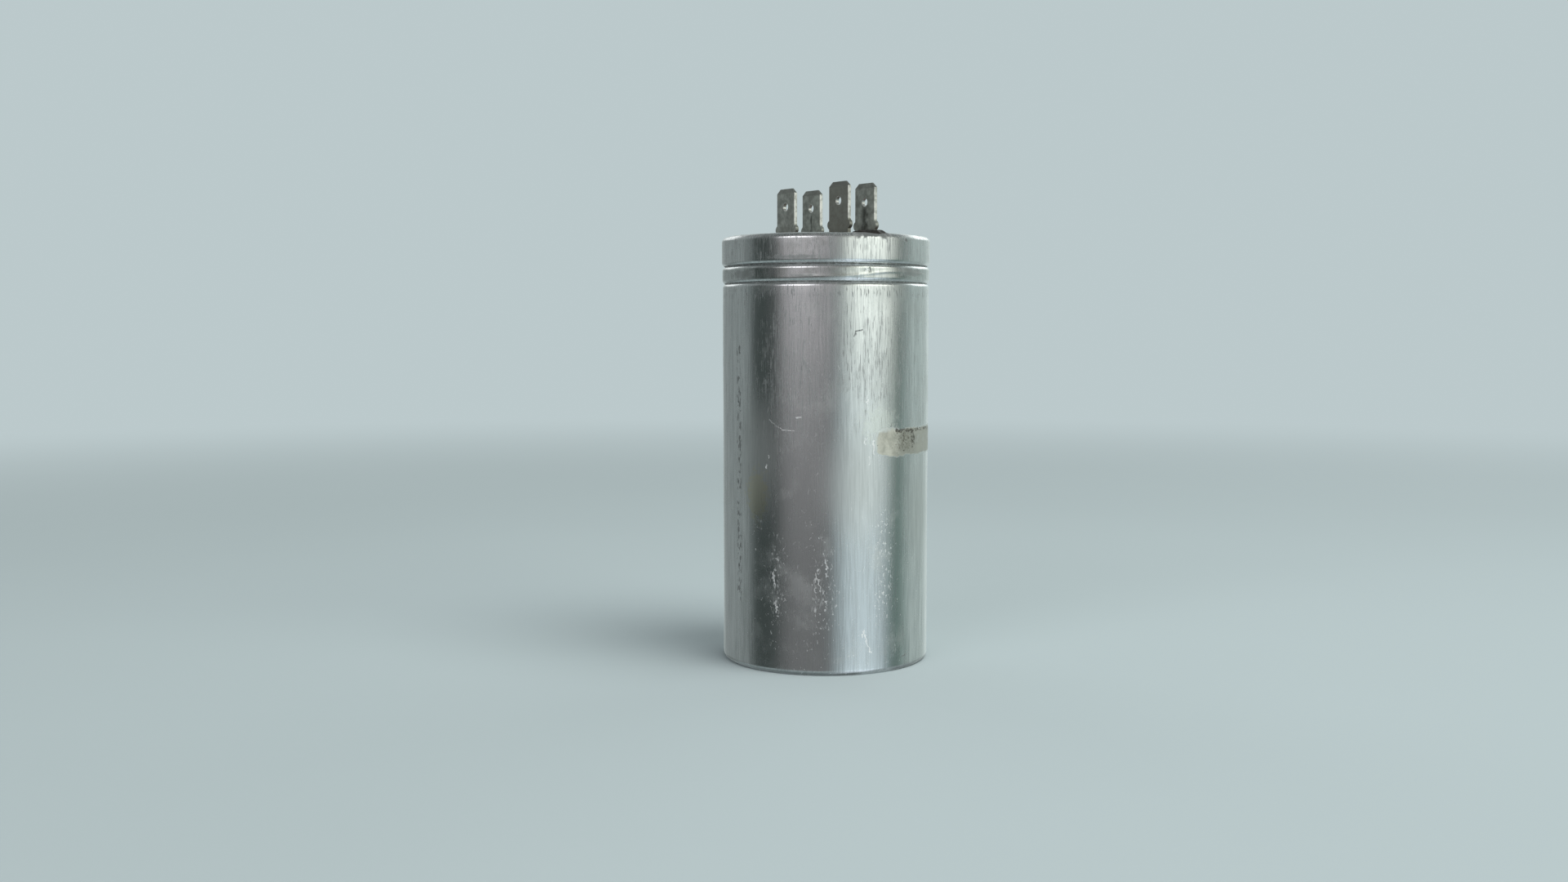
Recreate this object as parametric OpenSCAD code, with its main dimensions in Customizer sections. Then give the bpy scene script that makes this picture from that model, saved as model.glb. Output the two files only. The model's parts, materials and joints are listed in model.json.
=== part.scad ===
// Motor run capacitor: a drawn aluminium can with a rolled neck, closed by an insulating lid
// that carries two riveted terminals with a pair of push-on tabs each, over a wound film element.
// The can stands on its base at Z = 0, its axis is Z, and the two terminals lie along X.

/* [Can] */
// Outside diameter of the straight body
can_d = 45; // [40:0.5:60]
// Height from the base to the crest of the rolled rim
can_h = 92; // [70:1:130]
// Thickness of the drawn wall
can_wall = 0.5; // [0.4:0.05:0.6]
// Thickness of the base
can_floor = 0.8; // [0.5:0.1:1.5]
// Outside radius of the corner between wall and base
base_corner_r = 1.2; // [0.8:0.1:2]

/* [Rolled neck] */
// Crest of the rim down to the middle of the upper groove
rim_band_h = 6.4; // [6:0.1:9]
// Distance between the middles of the two grooves
groove_pitch = 3.7; // [3:0.1:6]
// Depth of a groove below the straight body, on the radius
groove_depth = 0.45; // [0.35:0.05:0.8]
// Outside radius of the shoulders of a groove
groove_shoulder_r = 1; // [0.9:0.05:1.5]
// Outside radius at the root of a groove
groove_root_r = 0.1; // [0.05:0.05:0.3]
// How far the rim band stands out from the body, on the radius
band_swell = 0.2; // [0:0.05:0.3]
// How far the bead between the grooves stands out from the body, on the radius
bead_swell = 0.1; // [0:0.05:0.2]
// Outside radius of the rolled rim
rim_roll_r = 1.2; // [0.9:0.1:1.4]
// Angle that the rim is rolled through
rim_roll_angle = 125; // [100:1:135]
// Straight lip at the end of the roll
rim_lip = 1; // [0.5:0.1:1.4]

/* [Lid and seal] */
// Depth of the lid's top below the crest of the rim
lid_recess = 1; // [0.7:0.1:1.5]
// Height of the rubber ring under the roll of the rim
seal_h = 1.6; // [1.2:0.1:2]
// Width of the rubber ring that shows inside the lip
seal_show = 0.9; // [0.5:0.1:1.5]
// Chamfer round the raised middle of the lid
lid_chamfer = 0.4; // [0.2:0.1:0.6]

/* [Terminals] */
// Distance between the two rivets
terminal_spacing = 21; // [19:0.2:24]
// Turn of each terminal about its rivet
terminal_turn = 5; // [0:1:15]
// Width of a tab
tab_w = 6.3; // [6:0.1:6.5]
// Thickness of the terminal strip
tab_t = 0.8; // [0.7:0.05:1]
// Free length of a tab above its stops
tab_free = 8; // [7:0.1:9]
// Height of the stops above the lid
stop_h = 3.2; // [2.6:0.1:4]
// Radius of the rounded stops at the tab's sides
stop_r = 1; // [0.8:0.1:1.2]
// How far a stop stands out past the tab's side
stop_reach = 0.6; // [0.4:0.05:0.7]
// Distance between the middles of the two tabs of one terminal
tab_pitch = 7.2; // [7:0.1:8.5]
// Inside radius of the strip's bends
strip_bend_r = 0.5; // [0.3:0.1:0.6]
// Width of the tip's corner chamfers
tip_chamfer_w = 1; // [0.6:0.1:1.5]
// Height of the tip's corner chamfers
tip_chamfer_h = 1; // [0.6:0.1:1.5]
// Diameter of the detent hole
detent_d = 1.75; // [1.5:0.05:1.9]
// Detent hole's middle below the tip
detent_drop = 4; // [3.5:0.1:4.5]

/* [Rivets and tags] */
// Diameter of the rivet's shank
rivet_d = 3; // [2.5:0.1:3.2]
// Bore of the tubular rivet
rivet_bore_d = 1.6; // [1:0.1:1.8]
// Diameter of the rivet's head
rivet_head_d = 5; // [4.4:0.1:5.2]
// Thickness of the rivet's head and of its rolled foot
rivet_flange_t = 0.6; // [0.4:0.1:0.8]
// Thickness of a solder tag
tag_t = 0.5; // [0.4:0.1:0.8]
// Width of a solder tag
tag_w = 4; // [3:0.5:5]
// Length of the tag's tail below the lid
tag_drop = 5; // [4:0.5:6]
// Distance of the tag's tail from its rivet
tag_reach = 3.6; // [3.2:0.1:4]
// Diameter of a lead wire
lead_d = 1.2; // [0.8:0.1:1.4]
// Bend radius of a lead, along its middle
lead_bend_r = 1.6; // [1.2:0.1:2]

/* [Winding] */
// Room between the winding's upper end and the lower groove
head_room = 6.8; // [6:0.1:10]
// Diameter of the core tube
core_d = 10; // [8:0.5:11]
// Wall of the core tube
core_wall = 1.5; // [1:0.1:2]
// Thickness of the sprayed metal on the winding's ends
contact_t = 0.6; // [0.4:0.1:1]
// Thickness of the insulating sleeve
sleeve_t = 0.5; // [0.3:0.1:0.8]
// Thickness of the insulating disc over the winding
disc_t = 1; // [0.6:0.1:1.5]
// Thickness of the insulating dish under the winding
dish_t = 1; // [0.8:0.1:1.5]
// Height of the ring on the dish that carries the winding
dish_ring_h = 2; // [1.8:0.1:3]
// Width of that ring
dish_ring_w = 3; // [2:0.5:4]

/* [Clearances] */
// Between pieces that are pushed into one another, on the radius
fit_gap = 0.1; // [0.05:0.05:0.15]
// Between the winding's sleeve and the can, on the radius
sleeve_gap = 0.3; // [0.2:0.05:0.5]
// Between the rubber ring and the metal that squeezes it
seal_gap = 0.05; // [0.02:0.01:0.1]

/* [Hidden] */
$fn = 96;
arc_step = 9;

// Outside radii of the body, the rim band and the bead
body_r = can_d / 2;
band_r = body_r + band_swell;
bead_r = body_r + bead_swell;
bore_r = body_r - can_wall;

// Heights of the grooves, and the radius at their roots
groove_high_z = can_h - rim_band_h;
groove_low_z = groove_high_z - groove_pitch;
root_r = body_r - groove_depth;
// Shoulder and root radii added along the middle of the sheet
groove_span = groove_shoulder_r + groove_root_r;

// Middle of the rim's roll
roll_c = [band_r - rim_roll_r, can_h - rim_roll_r];
roll_inside_r = rim_roll_r - can_wall;
// Direction of the lip, and its tip on the outside of the sheet
lip_dir = [-sin(rim_roll_angle), cos(rim_roll_angle)];
lip_tip = roll_c + rim_roll_r * [cos(rim_roll_angle), sin(rim_roll_angle)] + rim_lip * lip_dir;

// The lid's rounded lower edge nests in the shoulder above the upper groove
shoulder_z = groove_high_z + groove_half_width(band_r);
lid_edge_r = groove_shoulder_r - can_wall - fit_gap;
lid_r = band_r - can_wall - fit_gap;
lid_bottom = shoulder_z - lid_edge_r;
lid_top = can_h - lid_recess;
seal_bottom = roll_c.y - seal_h;
lid_boss_r = lip_tip.x - seal_show;

// Terminal strip: its half width across the pair, and the height of its tips above the lid
strip_half = tab_pitch / 2 + tab_t / 2;
tip_h = stop_h + stop_r + tab_free;
rivet_x = terminal_spacing / 2;

// Winding, from the base up
dish_r = bore_r - sleeve_gap - sleeve_t - fit_gap;
winding_z0 = can_floor + dish_t + dish_ring_h;
winding_z1 = groove_low_z - head_room;
film_z0 = winding_z0 + contact_t;
film_h = winding_z1 - contact_t - film_z0;
// Leads: where they leave the tags, and the height of the long lead's two level runs
lead_x = rivet_x + tag_reach + tag_t / 2 + lead_d / 2 + fit_gap;
lead_z1 = lid_bottom - tag_t - lead_d;
lead_cross_z = lid_bottom - tag_drop - lead_bend_r;
lead_foot_z = winding_z0 - lead_d / 2 - fit_gap;
lead_foot_x = core_d / 2 + lead_bend_r + lead_d;

// Points on an arc about a centre, from one angle to another
function arc(centre, r, from, to) =
    let (steps = ceil(abs(to - from) / arc_step))
    [for (i = [0:steps]) let (a = from + (to - from) * i / steps) centre + r * [cos(a), sin(a)]];

function reversed(list) = [for (i = [len(list) - 1:-1:0]) list[i]];

// Angle that each shoulder of a groove turns through, below a wall of outside radius r
function groove_angle(r) = acos(1 - (r - root_r) / groove_span);

// Height from a groove's middle to where the wall is straight again
function groove_half_width(r) = groove_span * sin(groove_angle(r));

// One rolled groove from its lower wall to its upper wall, on the outside (sheet = 0)
// or on the inside of the sheet (sheet = can_wall)
function groove(z, lower_r, upper_r, sheet) =
    let (low = groove_angle(lower_r), high = groove_angle(upper_r))
    concat(
        arc([lower_r - groove_shoulder_r, z - groove_half_width(lower_r)],
            groove_shoulder_r - sheet, 0, low),
        arc([root_r + groove_root_r, z], groove_root_r + sheet, 180 + low, 180 - high),
        arc([upper_r - groove_shoulder_r, z + groove_half_width(upper_r)],
            groove_shoulder_r - sheet, -high, 0)
    );

// The can's face from the middle of the base to the tip of the lip, outside or inside
function can_face(sheet, floor) =
    concat(
        [[0, floor]],
        arc([body_r - base_corner_r, floor + base_corner_r - sheet], base_corner_r - sheet, -90, 0),
        groove(groove_low_z, body_r, bead_r, sheet),
        groove(groove_high_z, bead_r, band_r, sheet),
        arc(roll_c, rim_roll_r - sheet, 0, rim_roll_angle),
        [lip_tip - sheet * [cos(rim_roll_angle), sin(rim_roll_angle)]]
    );

module can() {
    color([0.74, 0.78, 0.79])
        rotate_extrude()
            polygon(concat(can_face(0, 0), reversed(can_face(can_wall, can_floor))));
}

module lid() {
    color([0.15, 0.11, 0.09])
        difference() {
            rotate_extrude()
                polygon(concat(
                    [[0, lid_bottom]],
                    arc([lid_r - lid_edge_r, lid_bottom + lid_edge_r], lid_edge_r, -90, 0),
                    [[lid_r, seal_bottom], [lid_boss_r, seal_bottom], [lid_boss_r, lid_top - lid_chamfer]],
                    [[lid_boss_r - lid_chamfer, lid_top], [0, lid_top]]
                ));
            both_sides() rivet_hole();
        }
}

module seal_ring() {
    nose_r = roll_inside_r - seal_gap;
    lip_end = roll_c + nose_r * [cos(rim_roll_angle), sin(rim_roll_angle)] + rim_lip * lip_dir;
    color([0.06, 0.06, 0.06])
        rotate_extrude()
            polygon(concat(
                [[lid_boss_r + fit_gap, seal_bottom], [roll_c.x + nose_r, seal_bottom]],
                arc(roll_c, nose_r, 0, rim_roll_angle),
                [lip_end, [lid_boss_r + fit_gap, lip_end.y]]
            ));
}

// Section of the folded strip: a base with a tab bent up at each end, bevelled at the tips
module strip_section() {
    bevel = tab_t / 4;
    outer_r = strip_bend_r + tab_t;
    inner_half = strip_half - tab_t;
    outer = concat(
        [[-strip_half + bevel, tip_h], [-strip_half, tip_h - tip_chamfer_h]],
        arc([-strip_half + outer_r, outer_r], outer_r, 180, 270),
        arc([strip_half - outer_r, outer_r], outer_r, -90, 0),
        [[strip_half, tip_h - tip_chamfer_h], [strip_half - bevel, tip_h]]
    );
    inner = concat(
        [[inner_half + bevel, tip_h], [inner_half, tip_h - tip_chamfer_h]],
        arc([strip_half - outer_r, outer_r], strip_bend_r, 0, -90),
        arc([-strip_half + outer_r, outer_r], strip_bend_r, 270, 180),
        [[-inner_half, tip_h - tip_chamfer_h], [-inner_half - bevel, tip_h]]
    );
    polygon(concat(outer, inner));
}

// Outline of the strip's width: straight sides, chamfered tip and a rounded stop on each side
module tab_outline() {
    half = tab_w / 2;
    polygon([
        [-half, 0], [half, 0], [half, tip_h - tip_chamfer_h], [half - tip_chamfer_w, tip_h],
        [-half + tip_chamfer_w, tip_h], [-half, tip_h - tip_chamfer_h]
    ]);
    for (side = [-1, 1])
        translate([side * (half + stop_reach - stop_r), stop_h]) circle(stop_r);
}

module terminal() {
    wide = tab_w + 4 * stop_reach;
    translate([rivet_x, 0, lid_top])
        rotate(terminal_turn)
            difference() {
                intersection() {
                    rotate([90, 0, 90]) linear_extrude(wide, center = true) strip_section();
                    rotate([90, 0, 0]) linear_extrude(3 * strip_half, center = true) tab_outline();
                }
                translate([0, 0, -tab_t]) cylinder(d = rivet_d + 2 * fit_gap, h = 3 * tab_t);
                translate([0, 0, tip_h - detent_drop])
                    rotate([90, 0, 0]) cylinder(d = detent_d, h = 3 * strip_half, center = true);
            }
}

module terminal_right() {
    color([0.62, 0.6, 0.56]) terminal();
}

module terminal_left() {
    color([0.62, 0.6, 0.56]) rotate(180) terminal();
}

// Repeats a piece of the right side on the left side
module both_sides() {
    for (turn = [0, 180]) rotate(turn) children();
}

// Hole through the lid for a rivet
module rivet_hole() {
    translate([rivet_x, 0, lid_bottom - 1])
        cylinder(d = rivet_d + 2 * fit_gap, h = lid_top - lid_bottom + 2);
}

// Tubular rivet: head on the terminal's base, foot rolled over the solder tag
module rivet() {
    head_z = lid_top + tab_t;
    foot_z = lid_bottom - tag_t;
    edge_r = rivet_flange_t / 2;
    head_r = rivet_head_d / 2;
    shank_r = rivet_d / 2;
    translate([rivet_x, 0])
        rotate_extrude()
            polygon(concat(
                [[rivet_bore_d / 2, foot_z - rivet_flange_t]],
                arc([head_r - edge_r, foot_z - edge_r], edge_r, -90, 90),
                [[shank_r, foot_z], [shank_r, head_z]],
                arc([head_r - edge_r, head_z + edge_r], edge_r, -90, 90),
                [[rivet_bore_d / 2, head_z + rivet_flange_t]]
            ));
}

module terminal_rivets() {
    color([0.68, 0.65, 0.58]) both_sides() rivet();
}

// Solder tag: a plate under the lid with a tail bent down on the side away from the can's axis
module tag() {
    outer_r = 2 * tag_t;
    tail = tag_reach + tag_t / 2;
    bend_c = [tail - outer_r, -outer_r];
    color([0.72, 0.7, 0.64])
        translate([rivet_x, 0, lid_bottom])
            difference() {
                union() {
                    rotate([90, 0, 0])
                        linear_extrude(tag_w, center = true)
                            polygon(concat(
                                [[0, -tag_t], [0, 0]],
                                arc(bend_c, outer_r, 90, 0),
                                [[tail, -tag_drop], [tail - tag_t, -tag_drop]],
                                arc(bend_c, outer_r - tag_t, 0, 90)
                            ));
                    translate([0, 0, -tag_t]) cylinder(r = rivet_head_d / 2 + tag_t, h = tag_t);
                }
                translate([0, 0, -2 * tag_t]) cylinder(d = rivet_d + 2 * fit_gap, h = 3 * tag_t);
            }
}

module tag_right() {
    tag();
}

module tag_left() {
    rotate(180) tag();
}

// Straight length of lead from one point of the XZ plane, up or along X
module lead_up(x, from, to) {
    translate([x, 0, from]) cylinder(d = lead_d, h = to - from);
}

module lead_along(z, from, to) {
    translate([from, 0, z]) rotate([0, 90, 0]) cylinder(d = lead_d, h = to - from);
}

// Quarter bend of a lead in the XZ plane about a centre, from a start angle
module lead_bend(x, z, start) {
    translate([x, 0, z])
        rotate([90, 0, 0])
            rotate(start)
                rotate_extrude(angle = 90) translate([lead_bend_r, 0]) circle(d = lead_d);
}

module lead_short() {
    color([0.75, 0.45, 0.28]) lead_up(-lead_x, winding_z1, lead_z1);
}

module lead_long() {
    color([0.75, 0.45, 0.28]) {
        lead_up(lead_x, lead_cross_z + lead_bend_r, lead_z1);
        lead_bend(lead_x - lead_bend_r, lead_cross_z + lead_bend_r, -90);
        lead_along(lead_cross_z, lead_bend_r, lead_x - lead_bend_r);
        lead_bend(lead_bend_r, lead_cross_z - lead_bend_r, 90);
        lead_up(0, lead_foot_z + lead_bend_r, lead_cross_z - lead_bend_r);
        lead_bend(lead_bend_r, lead_foot_z + lead_bend_r, 180);
        lead_along(lead_foot_z, lead_bend_r, lead_foot_x);
    }
}

// Ring about the can's axis, from one height up
module ring(outer_r, inner_r, z, h) {
    translate([0, 0, z])
        difference() {
            cylinder(r = outer_r, h = h);
            translate([0, 0, -1]) cylinder(r = inner_r, h = h + 2);
        }
}

module film_roll() {
    color([0.85, 0.86, 0.84]) ring(dish_r, core_d / 2 + fit_gap, film_z0, film_h);
}

module core_tube() {
    color([0.9, 0.9, 0.86]) ring(core_d / 2, core_d / 2 - core_wall, winding_z0, winding_z1 - winding_z0);
}

module contact_top() {
    color([0.6, 0.62, 0.64]) ring(dish_r, core_d / 2 + fit_gap, winding_z1 - contact_t, contact_t);
}

module contact_bottom() {
    color([0.6, 0.62, 0.64]) ring(dish_r, core_d / 2 + fit_gap, winding_z0, contact_t);
}

module wrap_sleeve() {
    sleeve_z = can_floor + base_corner_r - can_wall;
    color([0.8, 0.72, 0.5])
        ring(dish_r + fit_gap + sleeve_t, dish_r + fit_gap, sleeve_z, winding_z1 + disc_t - sleeve_z);
}

module base_dish() {
    edge = min(base_corner_r, dish_t);
    ring_r = (dish_r + core_d / 2) / 2 + dish_ring_w;
    color([0.92, 0.92, 0.9]) {
        translate([0, 0, can_floor]) {
            cylinder(r1 = dish_r - edge / 2, r2 = dish_r, h = edge / 2);
            translate([0, 0, edge / 2]) cylinder(r = dish_r, h = dish_t - edge / 2);
        }
        ring(ring_r, ring_r - dish_ring_w, can_floor + dish_t, dish_ring_h);
    }
}

module top_disc() {
    color([0.92, 0.92, 0.9])
        difference() {
            ring(dish_r, core_d / 2, winding_z1, disc_t);
            translate([-lead_x, 0, winding_z1 - 1]) cylinder(d = lead_d + 4 * fit_gap, h = disc_t + 2);
        }
}

can();
lid();
seal_ring();
terminal_left();
terminal_right();
terminal_rivets();
tag_left();
tag_right();
lead_short();
lead_long();
film_roll();
core_tube();
contact_top();
contact_bottom();
wrap_sleeve();
base_dish();
top_disc();
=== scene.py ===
import json
import math

import bpy
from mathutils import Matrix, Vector, noise


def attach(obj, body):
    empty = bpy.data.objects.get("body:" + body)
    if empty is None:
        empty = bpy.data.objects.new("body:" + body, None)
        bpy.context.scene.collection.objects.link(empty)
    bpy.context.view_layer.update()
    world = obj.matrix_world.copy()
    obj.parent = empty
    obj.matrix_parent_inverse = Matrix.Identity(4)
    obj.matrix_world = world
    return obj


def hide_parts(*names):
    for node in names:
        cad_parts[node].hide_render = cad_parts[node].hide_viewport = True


# A used motor run capacitor: scuffed can, tarnished tabs, old label adhesive and a black residue on the lid.
# The scene stands in metres; the sizes below are in millimetres unless they say otherwise.
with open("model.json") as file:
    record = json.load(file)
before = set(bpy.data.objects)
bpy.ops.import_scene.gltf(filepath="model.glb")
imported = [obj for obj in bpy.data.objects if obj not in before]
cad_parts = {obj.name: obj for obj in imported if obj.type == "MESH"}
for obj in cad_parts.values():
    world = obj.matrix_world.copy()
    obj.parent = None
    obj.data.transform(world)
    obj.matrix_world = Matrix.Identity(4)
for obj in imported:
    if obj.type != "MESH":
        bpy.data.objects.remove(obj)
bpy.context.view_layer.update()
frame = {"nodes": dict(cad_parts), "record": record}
scene = bpy.context.scene

MM = 0.001
COLOURS = {m["slot"]: m["base_color"] for m in frame["record"]["materials"]}

# Turn of the photograph's view about the can, and its two level directions
VIEW_TURN = math.radians(58.03)
RIGHT = Vector((math.cos(VIEW_TURN), math.sin(VIEW_TURN), 0))
FRONT = Vector((math.sin(VIEW_TURN), -math.cos(VIEW_TURN), 0))

# The photograph's camera: its place right of the axis, in front of it and above the base, and its lens
CAMERA_SIDE = -9.12
CAMERA_AWAY = 333.88
CAMERA_HIGH = 72.83
CAMERA_PITCH = math.radians(-4.338)
CAMERA_LENS = 34.81
CAMERA_SENSOR = 36
CAMERA_NEAR = 10

# The can's section
CAN_H = 92
BODY_R = 22.5
BAND_R = 22.7
BEAD_R = 22.6
ROOT_R = 22.05
CAN_WALL = 0.5
CAN_FLOOR = 0.8
CORNER_R = 1.2
GROOVE_HIGH = 85.6
GROOVE_LOW = 81.9
SHOULDER_R = 1.0
ROOT_ROUND = 0.1
ROLL_R = 1.2
ROLL_TURN = 125
LIP = 1
LID_TOP = 91

# Terminals: turn about the rivet, the rivet's distance from the axis, and a tab's half width, tip and hole
TERMINAL_TURN = math.radians(5)
RIVET_X = 10.5
TAB_HALF = 3.15
TAB_TIP = 103.2
HOLE_Z = 99.2
HOLE_R = 0.875

# Facets round the can, and the angle in degrees between the points of a curve in its outer and inner section
CAN_SEGMENTS = 288
OUTER_STEP = 5
INNER_STEP = 10


class Tree:
    """Short calls that build one node tree."""

    def __init__(self, owner):
        owner.use_nodes = True
        self.tree = owner.node_tree
        self.tree.nodes.clear()

    def put(self, socket, value):
        if isinstance(value, bpy.types.NodeSocket):
            self.tree.links.new(value, socket)
        elif socket.type == "RGBA" and len(value) == 3:
            socket.default_value = (*value, 1)
        else:
            socket.default_value = value

    def add(self, kind, inputs=None, **settings):
        node = self.tree.nodes.new(kind)
        for key, value in settings.items():
            setattr(node, key, value)
        for key, value in (inputs or {}).items():
            self.put(node.inputs[key], value)
        return node

    def math(self, operation, *values):
        return self.add("ShaderNodeMath", dict(enumerate(values)), operation=operation).outputs[0]

    def product(self, first, *rest):
        for value in rest:
            first = self.math("MULTIPLY", first, value)
        return first

    def most(self, first, *rest):
        for value in rest:
            first = self.math("MAXIMUM", first, value)
        return first

    def vector(self, operation, *values):
        return self.add("ShaderNodeVectorMath", dict(enumerate(values)), operation=operation).outputs[0]

    def dot(self, a, b):
        return self.add("ShaderNodeVectorMath", {0: a, 1: b}, operation="DOT_PRODUCT").outputs["Value"]

    def length(self, a):
        return self.add("ShaderNodeVectorMath", {0: a}, operation="LENGTH").outputs["Value"]

    def join(self, x, y, z=0.0):
        return self.add("ShaderNodeCombineXYZ", {0: x, 1: y, 2: z}).outputs[0]

    def smooth(self, value, low, high, to_low=0.0, to_high=1.0):
        ends = {0: value, 1: low, 2: high, 3: to_low, 4: to_high}
        return self.add("ShaderNodeMapRange", ends, interpolation_type="SMOOTHSTEP").outputs[0]

    def between(self, value, low, high, edge):
        rise = self.smooth(value, low, low + edge)
        return self.product(rise, self.smooth(value, high, high - edge))

    def noise(self, vector, scale, detail=2.0, roughness=0.5):
        inputs = {"Vector": vector, "Scale": scale, "Detail": detail, "Roughness": roughness}
        return self.add("ShaderNodeTexNoise", inputs).outputs[0]

    def mix(self, share, a, b):
        node = self.add("ShaderNodeMix", {0: share}, data_type="RGBA")
        self.put(node.inputs[6], a)
        self.put(node.inputs[7], b)
        return node.outputs[2]

    def blend(self, share, a, b):
        return self.add("ShaderNodeMix", {0: share, 2: a, 3: b}, data_type="FLOAT").outputs[0]

    def point_mm(self):
        """The surface point in millimetres, in the part's own frame."""
        place = self.add("ShaderNodeTexCoord").outputs["Object"]
        return self.vector("MULTIPLY", place, (1 / MM, 1 / MM, 1 / MM))

    def height_of(self, point):
        return self.add("ShaderNodeSeparateXYZ", {0: point}).outputs["Z"]

    def bump(self, height, depth_mm, strength=1.0, normal=None):
        inputs = {"Height": height, "Distance": depth_mm * MM, "Strength": strength}
        if normal is not None:
            inputs["Normal"] = normal
        return self.add("ShaderNodeBump", inputs).outputs[0]

    def surface(self, **inputs):
        shader = self.add("ShaderNodeBsdfPrincipled", {k.replace("_", " "): v for k, v in inputs.items()})
        self.add("ShaderNodeOutputMaterial", {"Surface": shader.outputs[0]})


def new_material(name):
    material = bpy.data.materials.new(name)
    return material, Tree(material)


def arc_mm(degrees):
    """Length along the can's wall, to the right of the photograph's front."""
    return math.radians(degrees) * BODY_R


# Marks on the wall, as (degrees right of the front, height) from one end to the other, and the half width
DARK_MARKS = [
    ((13.6, 70.8), (14.6, 71.7), 0.2),
    ((14.6, 71.7), (18.2, 72.1), 0.14),
    ((45.0, 2.7), (49.0, 3.1), 0.12),
    ((-56.4, 16.0), (-54.6, 18.2), 0.12),
    ((-58.6, 17.6), (-55.0, 16.2), 0.1),
    ((36.0, 52.4), (36.8, 51.2), 0.15),
    # These two paint shade at the sides of the dent on the bead
    ((19.1, 84.7), (19.3, 84.2), 0.09),
    ((21.9, 84.8), (22.3, 83.9), 0.15),
]
PALE_MARKS = [
    ((-17.2, 53.9), (-14.4, 54.0), 0.14),
    ((-33.0, 53.4), (-25.0, 51.3), 0.04),
    ((-25.0, 51.3), (-18.4, 51.2), 0.06),
    ((19.4, 9.4), (21.4, 7.0), 0.16),
    ((21.4, 7.0), (23.8, 4.6), 0.15),
    ((19.4, 9.4), (18.6, 8.0), 0.12),
    ((-6.4, 21.6), (-3.6, 17.8), 0.1),
    ((-1.4, 24.4), (-0.4, 22.4), 0.12),
    ((-30.4, 21.5), (-29.6, 18.6), 0.16),
    ((-28.6, 15.4), (-28.2, 13.0), 0.16),
    # This one paints a highlight down the middle of the dent on the bead
    ((20.4, 84.6), (20.8, 83.5), 0.18),
    ((25.3, 49.0), (24.9, 46.3), 0.16),
    ((22.4, 45.7), (22.5, 44.2), 0.18),
    ((20.2, 49.6), (20.0, 48.4), 0.13),
    ((21.0, 58.4), (21.1, 56.8), 0.13),
    ((-34.8, 43.3), (-34.5, 43.8), 0.18),
    ((-33.6, 45.4), (-33.4, 45.8), 0.16),
]

# Patches on the wall, as (degrees right of the front, height) of the middle, and half the width and height
WORN_PATCHES = [((28, 66), (11, 11)), ((-19, 62), (8, 18))]
SMUDGES = [((-52, 83.7), (5, 1.0)), ((-18, 87.0), (6, 0.5)), ((-14, 83.2), (3, 0.3)), ((52, 84), (6, 0.9))]
CHIPPED_PATCHES = [((-29, 18), (3.0, 13)), ((-3, 18), (3.4, 11)), ((31, 22), (3.2, 15))]
HAZE_PATCHES = [((-42, 46), (5.5, 13)), ((14, 40), (7, 11)), ((62, 34), (6, 12))]
RIM_DOTS = [((46.5, 90.8), (1.2, 0.8))]
RIM_FILM = [((-20, 89.3), (8, 4))]
STAIN = [((-41, 37.5), (3.4, 6.0))]
SMEAR = [((29, 52.5), (4.6, 4.2))]

# Heights between which marks lie
BEAD_HEIGHTS = (82.4, 85.2)
UNDER_GROOVE_HEIGHTS = (78.4, 81.2)
FLECK_HEIGHTS = (12, 71)

# Heights at which marks begin to show, and at which they show in full
WORN_BAND_FADE = (86, 87)
DASH_FADE = (38, 56)
CHIP_FADE = (44, 30)
SCRATCH_FADE = (80, 62)
TAR_FRINGE_FADE = (90, 91)
TAR_FRINGE_EDGE = (92.2, 92.9)

# Degrees right of the front at which marks lie, and, last, the lit stretch of the base corner, where its
# painted shade is faint
FLECK_TURN = -56
TAR_FRINGE_TURNS = (12, 37)
LIT_BASE_TURNS = (14, 42)

# Colours of the can's metal and of what lies on it
METAL_DULL = (0.56, 0.595, 0.595)
METAL_BRIGHT = (0.735, 0.77, 0.77)
METAL_HAZE = (0.52, 0.55, 0.53)
METAL_SMEAR = (0.74, 0.79, 0.73)
METAL_FILM = (0.42, 0.45, 0.43)
# Painted shade round the base corner
METAL_BASE_SHADE = (0.12, 0.13, 0.13)
METAL_STAIN = (0.66, 0.64, 0.46)
# Chips and scratches, and the painted highlight in the dent on the bead
METAL_CHIP_AND_GLINT = (0.88, 0.9, 0.9)
# Dirt, and painted shade in the groove roots and beside the dent on the bead
METAL_DIRT_AND_SHADE = (0.043, 0.05, 0.046)

# Colours of the terminals' tinned strip
TIN_DULL = (0.33, 0.348, 0.318)
TIN_BRIGHT = (0.55, 0.575, 0.53)
TIN_BROWN = (0.29, 0.29, 0.25)
# Painted shade over the tabs' tips
TIN_TIP_SHADE = (0.17, 0.18, 0.165)
# Worn tin and a painted highlight on the edges and hole rims
TIN_WORN_AND_GLINT = (0.88, 0.89, 0.86)
TIN_DRIP = (0.035, 0.037, 0.03)


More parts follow.
